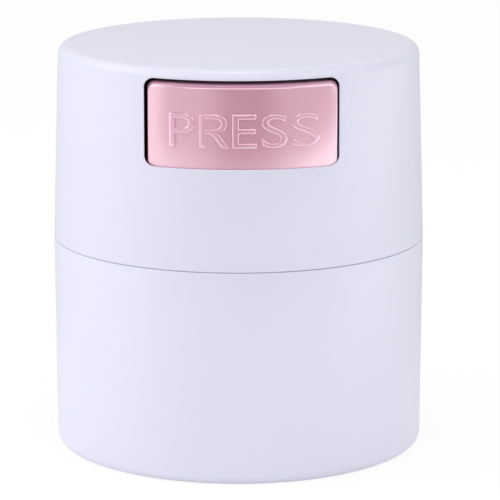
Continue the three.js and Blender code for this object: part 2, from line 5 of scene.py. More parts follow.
import bmesh
import bpy
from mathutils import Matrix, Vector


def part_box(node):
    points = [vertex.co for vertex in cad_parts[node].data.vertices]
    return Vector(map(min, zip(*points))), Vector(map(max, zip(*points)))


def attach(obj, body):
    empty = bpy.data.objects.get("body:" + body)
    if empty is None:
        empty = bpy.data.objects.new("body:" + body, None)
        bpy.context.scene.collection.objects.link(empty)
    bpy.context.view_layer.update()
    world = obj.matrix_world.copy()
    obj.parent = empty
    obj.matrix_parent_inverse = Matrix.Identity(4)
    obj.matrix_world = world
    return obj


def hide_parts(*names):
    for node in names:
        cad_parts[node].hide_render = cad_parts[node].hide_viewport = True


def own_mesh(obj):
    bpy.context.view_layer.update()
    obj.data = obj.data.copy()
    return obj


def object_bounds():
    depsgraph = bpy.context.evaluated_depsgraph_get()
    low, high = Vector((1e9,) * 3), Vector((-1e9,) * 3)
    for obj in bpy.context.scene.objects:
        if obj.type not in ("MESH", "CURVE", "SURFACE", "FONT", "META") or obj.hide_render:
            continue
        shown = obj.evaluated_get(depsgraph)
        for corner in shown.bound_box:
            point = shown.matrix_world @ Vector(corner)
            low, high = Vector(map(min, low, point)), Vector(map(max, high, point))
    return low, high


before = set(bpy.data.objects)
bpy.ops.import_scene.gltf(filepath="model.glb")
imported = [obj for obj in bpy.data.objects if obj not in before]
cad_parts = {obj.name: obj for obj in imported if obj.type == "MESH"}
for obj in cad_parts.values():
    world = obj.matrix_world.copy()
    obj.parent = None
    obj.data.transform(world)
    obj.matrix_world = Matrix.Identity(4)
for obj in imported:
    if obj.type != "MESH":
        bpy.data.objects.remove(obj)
cad_low, cad_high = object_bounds()
mm = 0.001

# Camera: a long lens at about twice the jar's height, one degree to the left of the button's middle.
# It aims slightly to the right of the jar's axis, so the jar stands left of the middle of the picture.
camera_reach = 691.6 * mm
camera_height = 196.8 * mm
camera_azimuth = math.radians(-1.1)
camera_tilt = math.radians(12.49)
camera_aside = math.radians(0.2134)
camera_lens = 223.04
camera_sensor = 36
camera_near = 20 * mm
bpy.ops.object.camera_add(
    location=(
        camera_reach * math.sin(camera_azimuth),
        -camera_reach * math.cos(camera_azimuth),
        camera_height,
    ),
    rotation=(math.pi / 2 - camera_tilt, 0, camera_azimuth - camera_aside),
)
camera = bpy.context.object
camera.data.lens = camera_lens
camera.data.sensor_width = camera_sensor
camera.data.clip_start = camera_near
bpy.context.scene.camera = camera
bpy.context.scene.view_settings.view_transform = "Standard"

# Table: a pale sweep that runs far to the back and sides, and ends a hand's reach in front of the jar.
# To the camera and in reflections it is nearly white, and it still takes the jar's shadow. Its emission has
# a painted pool of light towards its front corners, and in reflections a painted shade behind the jar.
table_width = 6.0
table_front = -0.28
table_colour = (0.90, 0.90, 0.91, 1)
table_white_share = 0.90
front_corner = 45
corner_reach = (0.10, 0.25)
left_corner_painted_light = 0.4
right_corner_painted_light = 1.1
straight_back = 180
back_reach = (-0.05, 0.15)
back_painted_shade = 0.4


def glow(tree, place, azimuth, reach, strength):
    """A value that rises to its strength over a reach towards an azimuth in degrees from the front."""
    turn = math.radians(azimuth)
    nearness = tree.nodes.new("ShaderNodeVectorMath")
    nearness.operation = "DOT_PRODUCT"
    nearness.inputs[1].default_value = (math.sin(turn), -math.cos(turn), 0)
    fade = tree.nodes.new("ShaderNodeMapRange")
    fade.interpolation_type = "SMOOTHSTEP"
    fade.inputs["From Min"].default_value = reach[0]
    fade.inputs["From Max"].default_value = reach[1]
    fade.inputs["To Max"].default_value = strength
    tree.links.new(place, nearness.inputs[0])
    tree.links.new(nearness.outputs["Value"], fade.inputs["Value"])
    return fade.outputs["Result"]


bpy.ops.object.select_all(action="DESELECT")
bpy.ops.mesh.primitive_plane_add(size=table_width, location=(0, table_front + table_width / 2, 0))
table = bpy.context.object
table.name = "table"
bpy.ops.object.transform_apply(location=True, rotation=True, scale=True)
table_paint = bpy.data.materials.new("pale_table")
table_paint.use_nodes = True
tree = table_paint.node_tree
nodes, links = tree.nodes, tree.links
nodes.clear()
lit = nodes.new("ShaderNodeBsdfDiffuse")
lit.inputs["Color"].default_value = table_colour
white = nodes.new("ShaderNodeEmission")
place = nodes.new("ShaderNodeTexCoord").outputs["Object"]
# Painted light on the table: its emission is made brighter towards the front corners, and darker in
# reflections behind the jar.
painted_corner_light = nodes.new("ShaderNodeMath")
painted_brightness = nodes.new("ShaderNodeMath")
painted_brightness.inputs[1].default_value = 1.0
shade = nodes.new("ShaderNodeMath")
shade.operation = "MULTIPLY"
painted_strength = nodes.new("ShaderNodeMath")
painted_strength.operation = "SUBTRACT"
rays = nodes.new("ShaderNodeLightPath")
mirrored = nodes.new("ShaderNodeMath")
mirrored.operation = "MAXIMUM"
seen = nodes.new("ShaderNodeMath")
share = nodes.new("ShaderNodeMath")
share.operation = "MULTIPLY"
share.inputs[1].default_value = table_white_share
both = nodes.new("ShaderNodeMixShader")
surface = nodes.new("ShaderNodeOutputMaterial")
links.new(glow(tree, place, -front_corner, corner_reach, left_corner_painted_light), painted_corner_light.inputs[0])
links.new(glow(tree, place, front_corner, corner_reach, right_corner_painted_light), painted_corner_light.inputs[1])
links.new(painted_corner_light.outputs["Value"], painted_brightness.inputs[0])
# Painted shade: in reflections the table's emission is lowered behind the jar.
links.new(glow(tree, place, straight_back, back_reach, back_painted_shade), shade.inputs[0])
links.new(rays.outputs["Is Glossy Ray"], shade.inputs[1])
links.new(painted_brightness.outputs["Value"], painted_strength.inputs[0])
links.new(shade.outputs["Value"], painted_strength.inputs[1])
links.new(painted_strength.outputs["Value"], white.inputs["Strength"])
links.new(rays.outputs["Is Glossy Ray"], mirrored.inputs[0])
links.new(rays.outputs["Is Transmission Ray"], mirrored.inputs[1])
links.new(rays.outputs["Is Camera Ray"], seen.inputs[0])
links.new(mirrored.outputs["Value"], seen.inputs[1])
links.new(seen.outputs["Value"], share.inputs[0])
links.new(share.outputs["Value"], both.inputs["Fac"])
links.new(lit.outputs["BSDF"], both.inputs[1])
links.new(white.outputs["Emission"], both.inputs[2])
links.new(both.outputs["Shader"], surface.inputs["Surface"])
table.data.materials.append(table_paint)

# Room: white where the camera sees it, and an even fill on the jar.
# In reflections it is pale behind the jar and to its sides, and dark in front, where the camera stands.
fill_level = 0.70
back_level = 0.56
back_spread = (0.0, 0.9)
left_level = 0.48
left_wall = -50
right_level = 0.42
right_wall = 56
wall_spread = (0.70, 0.92)
room = bpy.data.worlds.new("studio_room")
bpy.context.scene.world = room
room.use_nodes = True
tree = room.node_tree
nodes, links = tree.nodes, tree.links
nodes.clear()
rays = nodes.new("ShaderNodeLightPath")
way = nodes.new("ShaderNodeTexCoord").outputs["Generated"]
sides = nodes.new("ShaderNodeMath")
links.new(glow(tree, way, left_wall, wall_spread, left_level), sides.inputs[0])
links.new(glow(tree, way, right_wall, wall_spread, right_level), sides.inputs[1])
reflected = nodes.new("ShaderNodeMath")
links.new(glow(tree, way, straight_back, back_spread, back_level), reflected.inputs[0])
links.new(sides.outputs["Value"], reflected.inputs[1])
mirrored = nodes.new("ShaderNodeMath")
mirrored.operation = "MAXIMUM"
level = nodes.new("ShaderNodeMix")
level.inputs["A"].default_value = fill_level
seen = nodes.new("ShaderNodeMix")
seen.inputs["B"].default_value = 1.0
backdrop = nodes.new("ShaderNodeBackground")
backdrop.inputs["Color"].default_value = (1, 1, 1, 1)
surroundings = nodes.new("ShaderNodeOutputWorld")
links.new(rays.outputs["Is Glossy Ray"], mirrored.inputs[0])
links.new(rays.outputs["Is Transmission Ray"], mirrored.inputs[1])
links.new(mirrored.outputs["Value"], level.inputs["Factor"])
links.new(reflected.outputs["Value"], level.inputs["B"])
links.new(rays.outputs["Is Camera Ray"], seen.inputs["Factor"])
links.new(level.outputs["Result"], seen.inputs["A"])
links.new(seen.outputs["Result"], backdrop.inputs["Strength"])
links.new(backdrop.outputs["Background"], surroundings.inputs["Surface"])

# Lamps: soft boxes to the left and, weaker, to the right, a faint broad one high in front, and a small
# one overhead. A long strip high behind the camera shows only in reflections, as a bright line along the
# button's upper edge.
jar_middle = (cad_low + cad_high) / 2


def soft_box(name, azimuth, rise, reach, size, power):
    """An area lamp that faces the jar: azimuth in degrees from the front, rise over the jar's middle."""
    turn = math.radians(azimuth)
    place = jar_middle.copy()
    place.x += reach * math.sin(turn)
    place.y -= reach * math.cos(turn)
    place.z += rise
    facing = (jar_middle - place).to_track_quat("-Z", "Y").to_euler()
    bpy.ops.object.light_add(type="AREA", location=place, rotation=facing)
    lamp = bpy.context.object
    lamp.name = name
    lamp.data.shape = "RECTANGLE"
    lamp.data.size, lamp.data.size_y = size
    lamp.data.energy = power
    return lamp


soft_box("left_soft_box", azimuth=-75, rise=0.20, reach=0.95, size=(0.9, 0.9), power=2.0)
soft_box("high_left_soft_box", azimuth=-88, rise=0.60, reach=0.80, size=(0.9, 0.6), power=3.1)
soft_box("right_soft_box", azimuth=72, rise=0.15, reach=0.95, size=(0.4, 0.6), power=0.7)
soft_box("high_right_soft_box", azimuth=62, rise=0.60, reach=0.80, size=(0.6, 0.6), power=1.6)
soft_box("front_soft_box", azimuth=0, rise=1.0, reach=0.70, size=(1.8, 1.0), power=0.6)
soft_box("top_soft_box", azimuth=0, rise=1.1, reach=0.12, size=(0.35, 0.35), power=2.0)
strip = soft_box("front_strip", azimuth=0, rise=0.55, reach=0.90, size=(1.4, 0.30), power=2.4)
strip.visible_diffuse = False

# Base shell: the outer tub of the base, injection moulded in pearl-white ABS with a lilac cast.
# It stands on a flat ring, its lower edge is rounded, and a ledge inside its rim carries the cup.
weld = 0.002 * mm


def rounded(radius, height, size, start, end, steps=8):
    """Points of a round in the jar's (radius, height) section, between two angles in degrees."""
    points = []
    for i in range(steps + 1):
        angle = math.radians(start + (end - start) * i / steps)
        points.append((radius + size * math.cos(angle), height + size * math.sin(angle)))
    return points


def finish_mesh(piece, smooth=32):
    """Merges doubled points, turns every face outwards and smooths what isn't a real edge."""
    bpy.ops.object.select_all(action="DESELECT")
    bpy.context.view_layer.objects.active = piece
    piece.select_set(True)
    bpy.ops.object.mode_set(mode="EDIT")
    bpy.ops.mesh.select_all(action="SELECT")
    bpy.ops.mesh.remove_doubles(threshold=weld)
    bpy.ops.mesh.normals_make_consistent(inside=False)
    bpy.ops.object.mode_set(mode="OBJECT")
    bpy.ops.object.shade_smooth_by_angle(angle=math.radians(smooth))


def turned(name, profile, closed=False, steps=160):
    """One point drawn round a (radius, height) profile, then spun about the jar's axis."""
    bpy.ops.object.select_all(action="DESELECT")
    bpy.ops.mesh.primitive_plane_add(size=mm)
    piece = bpy.context.object
    piece.name = name
    bpy.ops.object.mode_set(mode="EDIT")
    bpy.ops.mesh.select_mode(type="VERT")
    bpy.ops.mesh.select_all(action="SELECT")
    bpy.ops.mesh.merge(type="CENTER")
    bpy.ops.transform.translate(value=(profile[0][0], 0, profile[0][1]))
    route = profile + profile[:1] if closed else profile
    for here, there in zip(route, route[1:]):
        step = (there[0] - here[0], 0, there[1] - here[1])
        bpy.ops.mesh.extrude_vertices_move(TRANSFORM_OT_translate={"value": step})
    bpy.ops.mesh.select_all(action="SELECT")
    bpy.ops.mesh.spin(steps=steps, angle=2 * math.pi, center=(0, 0, 0), axis=(0, 0, 1))
    bpy.ops.object.mode_set(mode="OBJECT")
    finish_mesh(piece)
    return piece


shell_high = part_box("base_shell")[1]
seam_radius = shell_high.x
shell_rim = shell_high.z
foot_taper = 0.3 * mm
foot_radius = seam_radius - foot_taper
foot_round = 2.0 * mm
foot_ring = 4.7 * mm
foot_recess = 0.8 * mm
foot_edge = 0.3 * mm
shell_wall = 2.2 * mm
shell_floor = 2.8 * mm
ledge_width = 0.9 * mm
flange_thickness = 2.0 * mm
ledge_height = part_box("lid_shell")[0].z - flange_thickness
rim_round = 0.2 * mm
shell_bore = seam_radius - shell_wall
foot_inner = foot_radius - foot_round - foot_ring
bore_low = shell_bore - foot_taper
base_shell = turned(
    "base_tub",
    [
        (0, foot_recess),
        (foot_inner - foot_recess, foot_recess),
        *rounded(foot_inner + foot_edge, foot_edge, foot_edge, -135, -90, steps=3),
        *rounded(foot_radius - foot_round, foot_round, foot_round, -90, 0, steps=10),
        *rounded(seam_radius - rim_round, shell_rim - rim_round, rim_round, 0, 90, steps=4),
        (shell_bore + ledge_width, shell_rim),
        (shell_bore + ledge_width, ledge_height),
        (shell_bore, ledge_height),
        *rounded(bore_low - foot_round, shell_floor + foot_round, foot_round, 0, -90, steps=5),
        (0, shell_floor),
    ],
)

grain_detail = 3.0
grain_mean = 0.5


def moulded_grain():
    """Shader node group: broad unevenness and fine texture of a moulded or drawn surface."""
    group = bpy.data.node_groups.new("moulded_grain", "ShaderNodeTree")
    face = group.interface
    face.new_socket("Colour In", in_out="INPUT", socket_type="NodeSocketColor")
    for label in ("Roughness In", "Spread", "Shade", "Broad Scale", "Fine Scale"):
        face.new_socket(label, in_out="INPUT", socket_type="NodeSocketFloat")
    face.new_socket("Colour", in_out="OUTPUT", socket_type="NodeSocketColor")
    face.new_socket("Roughness", in_out="OUTPUT", socket_type="NodeSocketFloat")
    face.new_socket("Height", in_out="OUTPUT", socket_type="NodeSocketFloat")
    nodes, links = group.nodes, group.links
    given = nodes.new("NodeGroupInput")
    result = nodes.new("NodeGroupOutput")
    place = nodes.new("ShaderNodeTexCoord")
    broad = nodes.new("ShaderNodeTexNoise")
    fine = nodes.new("ShaderNodeTexNoise")
    for noise, label in ((broad, "Broad Scale"), (fine, "Fine Scale")):
        noise.inputs["Detail"].default_value = grain_detail
        links.new(place.outputs["Object"], noise.inputs["Vector"])
        links.new(given.outputs[label], noise.inputs["Scale"])
    centred = nodes.new("ShaderNodeMath")
    centred.operation = "SUBTRACT"
    centred.inputs[1].default_value = grain_mean
    links.new(broad.outputs["Fac"], centred.inputs[0])
    spread = nodes.new("ShaderNodeMath")
    spread.operation = "MULTIPLY_ADD"
    links.new(centred.outputs["Value"], spread.inputs[0])
    links.new(given.outputs["Spread"], spread.inputs[1])
    links.new(given.outputs["Roughness In"], spread.inputs[2])
    shade = nodes.new("ShaderNodeMath")
    shade.operation = "MULTIPLY_ADD"
    shade.inputs[2].default_value = 1.0
    links.new(centred.outputs["Value"], shade.inputs[0])
    links.new(given.outputs["Shade"], shade.inputs[1])
    tint = nodes.new("ShaderNodeVectorMath")
    tint.operation = "SCALE"
    links.new(given.outputs["Colour In"], tint.inputs["Vector"])
    links.new(shade.outputs["Value"], tint.inputs["Scale"])
    links.new(tint.outputs["Vector"], result.inputs["Colour"])
    links.new(spread.outputs["Value"], result.inputs["Roughness"])
    links.new(fine.outputs["Fac"], result.inputs["Height"])
    return group


grain = moulded_grain()


def surface_finish(name, colour, roughness, spread, shade, broad_scale, fine_scale, relief):
    """A Principled material whose colour, roughness and fine relief come from the moulded grain."""
    finish = bpy.data.materials.new(name)
    finish.use_nodes = True
    nodes, links = finish.node_tree.nodes, finish.node_tree.links
    shader = nodes["Principled BSDF"]
    texture = nodes.new("ShaderNodeGroup")
    texture.node_tree = grain
    texture.inputs["Colour In"].default_value = (*colour, 1)
    texture.inputs["Roughness In"].default_value = roughness
    texture.inputs["Spread"].default_value = spread
    texture.inputs["Shade"].default_value = shade
    texture.inputs["Broad Scale"].default_value = broad_scale
    texture.inputs["Fine Scale"].default_value = fine_scale
    bump = nodes.new("ShaderNodeBump")
    bump.inputs["Strength"].default_value = 1.0
    bump.inputs["Distance"].default_value = relief
    links.new(texture.outputs["Colour"], shader.inputs["Base Color"])
    links.new(texture.outputs["Roughness"], shader.inputs["Roughness"])
    links.new(texture.outputs["Height"], bump.inputs["Height"])
    links.new(bump.outputs["Normal"], shader.inputs["Normal"])
    return finish


pearl_plastic = surface_finish(
    "pearl_plastic",
    colour=(0.70, 0.70, 0.82),
    roughness=0.30,
    spread=0.06,
    shade=0.02,
    broad_scale=45,
    fine_scale=2600,
    relief=0.004 * mm,
)
base_shell.data.materials.append(pearl_plastic)
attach(base_shell, "base")
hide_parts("base_shell")

# Inner cup: the liner that the bottles stand in, moulded in natural white polypropylene.
# Its flange hangs on the shell's ledge, and its neck, with a rounded mouth, rises into the lid.
cup_low, cup_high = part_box("inner_cup")
lid_low, lid_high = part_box("lid_shell")
flange_radius = cup_high.x
neck_outer = 38.7 * mm
neck_wall = 1.8 * mm
neck_inner = neck_outer - neck_wall
mouth_round = 0.8 * mm
cup_round = 3.0 * mm
cup_bottom = 1.9 * mm
cup_floor = cup_low.z + cup_bottom
inner_cup = turned(
    "bottle_cup",
    [
        (0, cup_low.z),
        *rounded(neck_outer - cup_round, cup_low.z + cup_round, cup_round, -90, 0),
        (neck_outer, ledge_height),
        (flange_radius, ledge_height),
        (flange_radius, lid_low.z),
        (neck_outer, lid_low.z),
        *rounded(neck_outer - mouth_round, cup_high.z - mouth_round, mouth_round, 0, 90, steps=6),
        *rounded(neck_inner + mouth_round, cup_high.z - mouth_round, mouth_round, 90, 180, steps=6),
        *rounded(neck_inner - cup_round, cup_floor + cup_round, cup_round, 0, -90),
        (0, cup_floor),
    ],
)
cup_plastic = surface_finish(
    "cup_plastic",
    colour=(0.80, 0.80, 0.83),
    roughness=0.45,
    spread=0.10,
    shade=0.03,
    broad_scale=60,
    fine_scale=1500,
    relief=0.005 * mm,
)
inner_cup.data.materials.append(cup_plastic)
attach(inner_cup, "base")
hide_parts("inner_cup")

# Plug seal: a soft silicone ring with two lips, stretched into the plug's groove.
# Its lips wipe the inside of the neck and keep the air out.
seal_low, seal_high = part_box("plug_seal")
lip_radius = seal_high.x
seal_inner = 35.05 * mm
seal_outer = 36.3 * mm
seal_edge = 0.25 * mm
lip_slope = 0.8 * mm
lip_round = 0.2 * mm
low_lip = seal_low.z + lip_slope + lip_round
high_lip = seal_high.z - lip_slope - lip_round
plug_seal = turned(
    "plug_seal_ring",
    [
        (seal_inner, seal_low.z),
        *rounded(seal_outer - seal_edge, seal_low.z + seal_edge, seal_edge, -90, -30, steps=4),
        *rounded(lip_radius - lip_round, low_lip, lip_round, -60, 60, steps=6),
        (seal_outer, low_lip + lip_slope + lip_round),
        (seal_outer, high_lip - lip_slope - lip_round),
        *rounded(lip_radius - lip_round, high_lip, lip_round, -60, 60, steps=6),
        *rounded(seal_outer - seal_edge, seal_high.z - seal_edge, seal_edge, 30, 90, steps=4),
        (seal_inner, seal_high.z),
    ],
    closed=True,
)
silicone = surface_finish(
    "white_silicone",
    colour=(0.80, 0.78, 0.81),
    roughness=0.52,
    spread=0.12,
    shade=0.03,
    broad_scale=90,
    fine_scale=1200,
    relief=0.006 * mm,
)
silicone_shader = silicone.node_tree.nodes["Principled BSDF"]
silicone_shader.inputs["Subsurface Weight"].default_value = 0.3
silicone_shader.inputs["Subsurface Scale"].default_value = 2 * mm
plug_seal.data.materials.append(silicone)
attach(plug_seal, "seal")
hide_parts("plug_seal")

# Inner lid: the plug, one polypropylene moulding pressed up against a step in the lid's wall.
# Its skirt carries the seal. On its deck stand the vent's seat, two rails and a stop for the slider,
# and two posts with spigots for the button's springs.
plug_low, plug_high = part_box("inner_lid")
deck_radius = plug_high.x
deck_high = 67.5 * mm
deck_thickness = 2.0 * mm
deck_low = deck_high - deck_thickness
skirt_outer = 36.3 * mm
skirt_inner = 33.3 * mm
skirt_chamfer = 0.8 * mm
skirt_round = 0.4 * mm
groove_floor = 34.9 * mm
groove_side = 0.15 * mm
vent_radius = 2.0 * mm
seat_width = 1.2 * mm
seat_rise = 1.0 * mm
squarely = 0.9
inner_lid = turned(
    "plug_moulding",
    [
        (vent_radius, deck_low),
        *rounded(skirt_inner - skirt_round, deck_low - skirt_round, skirt_round, 90, 0, steps=4),
        *rounded(skirt_inner + skirt_round, plug_low.z + skirt_round, skirt_round, 180, 270, steps=4),
        (skirt_outer - skirt_chamfer, plug_low.z),
        (skirt_outer, plug_low.z + skirt_chamfer),
        (skirt_outer, seal_low.z - groove_side),
        (groove_floor, seal_low.z - groove_side),
        (groove_floor, seal_high.z + groove_side),
        (skirt_outer, seal_high.z + groove_side),
        *rounded(skirt_outer + skirt_round, deck_low - skirt_round, skirt_round, 180, 90, steps=4),
        (deck_radius, deck_low),
        (deck_radius, deck_high),
        (vent_radius + seat_width, deck_high),
        (vent_radius + seat_width / 2, deck_high + seat_rise),
        (vent_radius, deck_high + seat_rise),
    ],
    closed=True,
)


def plain_block(low, high):
    """A block between two corners."""
    bpy.ops.object.select_all(action="DESELECT")
    bpy.ops.mesh.primitive_cube_add(
        size=1,
        location=[(a + b) / 2 for a, b in zip(low, high)],
        scale=[b - a for a, b in zip(low, high)],
    )
    bpy.ops.object.transform_apply(location=True, rotation=True, scale=True)
    return bpy.context.object


def block(low, high, edge):
    """A block between two corners, with its edges rounded."""
    piece = plain_block(low, high)
    bpy.ops.object.mode_set(mode="EDIT")
    bpy.ops.mesh.select_all(action="SELECT")
    bpy.ops.mesh.bevel(offset=edge, segments=3, affect="EDGES")
    bpy.ops.object.mode_set(mode="OBJECT")
    return piece


def select_faces(piece, wanted):
    """In edit mode, selects the faces for which wanted is true."""
    bpy.ops.mesh.select_mode(type="FACE")
    bpy.ops.mesh.select_all(action="DESELECT")
    draft = bmesh.from_edit_mesh(piece.data)
    for face in draft.faces:
        face.select_set(wanted(face))
    bmesh.update_edit_mesh(piece.data)


def bar(radius, x, z, front, back, edge):
    """A round bar along the button's travel, with its ends rounded."""
    bpy.ops.object.select_all(action="DESELECT")
    bpy.ops.mesh.primitive_cylinder_add(
        vertices=40,
        radius=radius,
        depth=back - front,
        location=(x, (front + back) / 2, z),
        rotation=(math.pi / 2, 0, 0),
    )
    piece = bpy.context.object
    bpy.ops.object.transform_apply(location=True, rotation=True, scale=True)
    bpy.ops.object.mode_set(mode="EDIT")
    select_faces(piece, lambda face: abs(face.normal.y) > squarely)
    bpy.ops.mesh.bevel(offset=edge, segments=3, affect="EDGES")
    bpy.ops.object.mode_set(mode="OBJECT")
    return piece


def combine(piece, operation, others):
    """Joins other objects to a piece, or cuts them out of it, and removes them."""
    for other in others:
        bpy.ops.object.select_all(action="DESELECT")
        bpy.context.view_layer.objects.active = piece
        piece.select_set(True)
        bpy.ops.object.modifier_add(type="BOOLEAN")
        change = piece.modifiers[-1]
        change.operation = operation
        change.solver = "EXACT"
        change.object = other
        bpy.ops.object.modifier_apply(modifier=change.name)
        bpy.data.objects.remove(other)
    finish_mesh(piece)


slider_low, slider_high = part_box("button_slider")
travel = 3.0 * mm
run_gap = 0.3 * mm
root = 0.4 * mm
edge_round = 0.25 * mm
runner_half = 11.0 * mm
runner_rise = 2.8 * mm
crossbar_depth = 2.5 * mm
rail_width = 1.6 * mm
rail_lip = 0.6 * mm
spring_spread = 15.0 * mm
spring_rise = 7.5 * mm
spring_room = 14.0 * mm
post_depth = 2.5 * mm
post_half = 3.4 * mm
spigot_radius = 1.5 * mm
spigot_length = 2.5 * mm
deck_root = deck_high - root
runner_high = deck_high + runner_rise
runner_back = slider_high.y
crossbar_front = slider_low.y
crossbar_back = crossbar_front + crossbar_depth
rail_inner = runner_half + run_gap
rail_outer = rail_inner + rail_width
rail_front = crossbar_back + travel + run_gap
rail_high = runner_high + rail_lip
stop_front = runner_back + travel + run_gap
stop_back = stop_front + rail_width
spring_high = deck_high + spring_rise
post_front = crossbar_back + spring_room
post_back = post_front + post_depth
fittings = [block((-rail_outer, stop_front, deck_root), (rail_outer, stop_back, rail_high), edge_round)]
for side in (-1, 1):
    near, far = sorted((side * rail_inner, side * rail_outer))
    middle = side * spring_spread
    fittings += [
        block((near, rail_front, deck_root), (far, stop_back - edge_round, rail_high), edge_round),
        block(
            (middle - post_half, post_front, deck_root),
            (middle + post_half, post_back, spring_high + post_half),
            edge_round,
        ),
        bar(spigot_radius, middle, spring_high, post_front - spigot_length, post_front + root, edge_round),
    ]
combine(inner_lid, "UNION", fittings)
inner_lid.data.materials.append(cup_plastic)
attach(inner_lid, "lid")
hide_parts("inner_lid")

# Valve pad: a small silicone disc on the stem's spigot, which closes the vent on its seat.
# Moulded like the ring, with a rounded rim.
pad_low, pad_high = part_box("valve_pad")
pad_radius = pad_high.x
pad_round = 0.3 * mm
socket_radius = 1.25 * mm
socket_depth = 0.95 * mm
socket_floor = pad_high.z - socket_depth
small_steps = 64
valve_pad = turned(
    "vent_pad",
    [
        (0, pad_low.z),
        *rounded(pad_radius - pad_round, pad_low.z + pad_round, pad_round, -90, 0, steps=4),
        *rounded(pad_radius - pad_round, pad_high.z - pad_round, pad_round, 0, 90, steps=4),
        (socket_radius, pad_high.z),
        (socket_radius, socket_floor),
        (0, socket_floor),
    ],
    steps=small_steps,
)
valve_pad.data.materials.append(silicone)
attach(valve_pad, "valve")
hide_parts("valve_pad")

# Valve stem: the acetal poppet. Its disc holds the pad, its stem runs in the lid's guide,
# and two wings with sloped undersides ride up the slider's ramps.
stem_low, stem_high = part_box("valve_stem")
stem_radius = 1.7 * mm
stem_tip = 0.4 * mm
disc_thickness = 1.2 * mm
disc_high = pad_high.z + disc_thickness
disc_round = 0.2 * mm
pad_spigot = 1.2 * mm
valve_stem = turned(
    "vent_poppet",
    [
        (0, stem_low.z),
        (pad_spigot, stem_low.z),
        (pad_spigot, pad_high.z),
        (pad_radius, pad_high.z),
        *rounded(pad_radius - disc_round, disc_high - disc_round, disc_round, 0, 90, steps=4),
        (stem_radius, disc_high),
        *rounded(stem_radius - stem_tip, stem_high.z - stem_tip, stem_tip, 0, 90, steps=5),
        (0, stem_high.z),
    ],
    steps=small_steps,
)
wing_half = 1.6 * mm
wing_reach = stem_high.x
wing_low = runner_high + run_gap
ramp_slope = 0.6
wing_climb = ramp_slope * 2 * wing_half
wing_thickness = 1.2 * mm
wing_high = wing_low + wing_climb + wing_thickness


def plane_off(place, way):
    """Cuts away what lies beyond a sloped plane, and closes the cut."""
    bpy.ops.object.mode_set(mode="EDIT")
    bpy.ops.mesh.select_all(action="SELECT")
    bpy.ops.mesh.bisect(plane_co=place, plane_no=way, use_fill=True, clear_outer=True)
    bpy.ops.object.mode_set(mode="OBJECT")


wings = block((-wing_reach, -wing_half, wing_low), (wing_reach, wing_half, wing_high), edge_round)
plane_off((0, wing_half, wing_low), (0, -ramp_slope, -1))
combine(valve_stem, "UNION", [wings])
acetal = surface_finish(
    "white_acetal",
    colour=(0.82, 0.80, 0.76),
    roughness=0.40,
    spread=0.08,
    shade=0.03,
    broad_scale=80,
    fine_scale=2000,
    relief=0.004 * mm,
)
valve_stem.data.materials.append(acetal)
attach(valve_stem, "valve")
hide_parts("valve_stem")

# Springs: three cold-wound compression springs of drawn stainless wire.
# One closes the valve from under the guide, and two push the slider and the button out.
coil_end_gap = 0.05 * mm
coil_smoothing = 50


def coil(name, radius, wire, turns, length):
    """A ring of wire wound up along Z from the origin, with its ends closed."""
    rise = length - wire - 2 * coil_end_gap
    bpy.ops.object.select_all(action="DESELECT")
    bpy.ops.mesh.primitive_circle_add(
        vertices=12,
        radius=wire / 2,
        location=(radius, 0, wire / 2 + coil_end_gap),
        rotation=(math.pi / 2, 0, 0),
    )
    piece = bpy.context.object
    piece.name = name
    bpy.ops.object.transform_apply(location=True, rotation=True, scale=True)
    bpy.ops.object.modifier_add(type="SCREW")
    winding = piece.modifiers[-1]
    winding.angle = 2 * math.pi
    winding.iterations = turns
    winding.screw_offset = rise / turns
    winding.steps = winding.render_steps = 40
    bpy.ops.object.modifier_apply(modifier=winding.name)
    bpy.ops.object.mode_set(mode="EDIT")
    bpy.ops.mesh.select_mode(type="EDGE")
    bpy.ops.mesh.select_all(action="SELECT")
    bpy.ops.mesh.remove_doubles(threshold=weld)
    bpy.ops.mesh.select_all(action="DESELECT")
    bpy.ops.mesh.select_non_manifold()
    bpy.ops.mesh.fill_holes(sides=0)
    bpy.ops.object.mode_set(mode="OBJECT")
    finish_mesh(piece, coil_smoothing)
    return piece


spring_wire = surface_finish(
    "drawn_wire",
    colour=(0.55, 0.55, 0.57),
    roughness=0.28,
    spread=0.12,
    shade=0.10,
    broad_scale=400,
    fine_scale=3000,
    relief=0.003 * mm,
)
spring_wire.node_tree.nodes["Principled BSDF"].inputs["Metallic"].default_value = 1.0
guide_low = 84.0 * mm
valve_coil_length = guide_low - wing_high
valve_coil = coil("vent_coil", radius=2.9 * mm, wire=0.5 * mm, turns=5, length=valve_coil_length)
valve_coil.location = (0, 0, wing_high)
bpy.ops.object.transform_apply(location=True, rotation=True, scale=True)
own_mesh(valve_coil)
valve_coil.data.materials.append(spring_wire)
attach(valve_coil, "lid")
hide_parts("valve_spring")
button_coil_length = post_front - crossbar_back
for side, x in (("left", -spring_spread), ("right", spring_spread)):
    button_coil = coil(
        f"button_coil_{side}", radius=2.2 * mm, wire=0.6 * mm, turns=7, length=button_coil_length
    )
    button_coil.rotation_euler = (-math.pi / 2, 0, 0)
    button_coil.location = (x, crossbar_back, spring_high)
    bpy.ops.object.transform_apply(location=True, rotation=True, scale=True)
    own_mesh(button_coil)
    button_coil.data.materials.append(spring_wire)
    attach(button_coil, "lid")
    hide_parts(f"button_spring_{side}")

